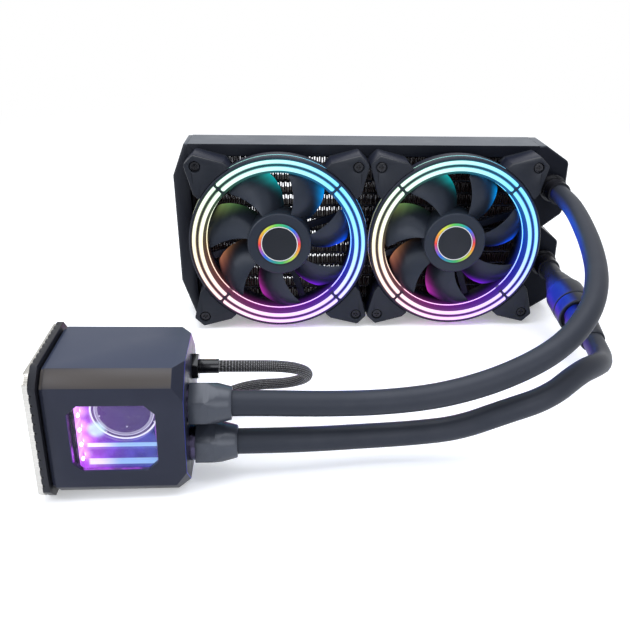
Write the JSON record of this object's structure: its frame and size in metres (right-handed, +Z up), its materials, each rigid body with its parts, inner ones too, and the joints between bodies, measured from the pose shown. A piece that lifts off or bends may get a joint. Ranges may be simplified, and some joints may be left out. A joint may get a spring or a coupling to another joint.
{
  "type": "closed-loop liquid cooler",
  "caption": "Closed-loop liquid cooler: black radiator with two light-ring fans, two rubber hoses with a quick coupling, a sleeved lead and a pump block with a lit window.",
  "frame": {"origin": "middle of the radiator's underside, on the surface it stands on", "axes": "+X along the radiator towards the hose ports, +Y from the fans through the radiator to its back, +Z up"},
  "size_m": [0.3312, 0.2414, 0.124],
  "materials": {
    "casing_black": "satin moulded plastic",
    "radiator_black": "semi-gloss powder coat",
    "core_metal": "thin painted aluminium",
    "fan_black": "fine matt moulding",
    "pad_rubber": "matt rubber",
    "blade_black": "satin moulding",
    "light_diffuser": "milky diffuser",
    "board_green": "solder mask",
    "hub_disc": "gloss film",
    "steel": "turned",
    "magnet": "sintered",
    "stator_iron": "laminated iron with copper windings",
    "bronze": "sintered bronze",
    "screw_black": "black oxide",
    "nickel": "nickel plate",
    "seal_rubber": "soft rubber",
    "clear_window": "clear",
    "tank_clear": "clear",
    "fitting_black": "gloss moulding",
    "boot_rubber": "satin rubber",
    "hose_rubber": "smooth matt rubber",
    "lead_sleeve": "woven sleeve",
    "plug_white": "moulded nylon"
  },
  "bodies": {
    "cooler": {"base_seal": "seal_rubber", "block_casing": "casing_black", "block_light_strip": "board_green", "block_window": "clear_window", "cable_gland": "fitting_black", "cable_sleeve": "fitting_black", "cold_plate": "nickel", "coupling_plug": "boot_rubber", "coupling_socket": "fitting_black", "fan_bearing_left": "bronze", "fan_bearing_right": "bronze", "fan_frame_left": "fan_black", "fan_frame_right": "fan_black", "fan_light_board_left": "board_green", "fan_light_board_right": "board_green", "fan_lights_left": "light_diffuser", "fan_lights_right": "light_diffuser", "fan_pads_left": "pad_rubber", "fan_pads_right": "pad_rubber", "fan_screws": "screw_black", "fan_stator_left": "stator_iron", "fan_stator_right": "stator_iron", "header_plates": "core_metal", "hose_barbs": "fitting_black", "hose_boots": "boot_rubber", "hose_cuffs": "boot_rubber", "hose_lower": "hose_rubber", "hose_stub": "hose_rubber", "hose_upper": "hose_rubber", "impeller_shaft": "steel", "mounting_ring": "casing_black", "plate_screws": "steel", "pump_base": "casing_black", "pump_cover": "tank_clear", "pump_cup": "fitting_black", "pump_lead": "lead_sleeve", "pump_lead_coil": "lead_sleeve", "pump_lead_plug": "plug_white", "pump_motor_housing": "casing_black", "pump_stator": "stator_iron", "radiator_fins": "core_metal", "radiator_ports": "fitting_black", "radiator_tubes": "core_metal", "reservoir": "tank_clear", "side_frame_bottom": "radiator_black", "side_frame_top": "radiator_black", "tank_left": "radiator_black", "tank_right": "radiator_black"},
    "fan_left_rotor": {"fan_rotor_left": "blade_black", "fan_hub_disc_left": "hub_disc", "fan_magnet_ring_left": "magnet", "fan_shaft_left": "steel"},
    "fan_right_rotor": {"fan_rotor_right": "blade_black", "fan_hub_disc_right": "hub_disc", "fan_magnet_ring_right": "magnet", "fan_shaft_right": "steel"},
    "pump_impeller": {"impeller": "blade_black"},
    "collar": {"coupling_collar": "fitting_black"}
  },
  "joints": [
    {"name": "fan_left_spin", "type": "hinge", "parent": "cooler", "child": "fan_left_rotor", "pos_m": [-0.06, -0.0275, 0.062], "axis": [0, -1, 0], "continuous": true},
    {"name": "fan_right_spin", "type": "hinge", "parent": "cooler", "child": "fan_right_rotor", "pos_m": [0.06, -0.0275, 0.062], "axis": [0, -1, 0], "continuous": true},
    {"name": "impeller_spin", "type": "hinge", "parent": "cooler", "child": "pump_impeller", "pos_m": [-0.12578, -0.17003, 0.04755], "axis": [0.0209, -0.9998, 0], "continuous": true},
    {"name": "collar_slide", "type": "slide", "parent": "cooler", "child": "collar", "axis": [-0.0328, -0.9962, -0.0804], "range_m": [0, 0.003]}
  ]
}
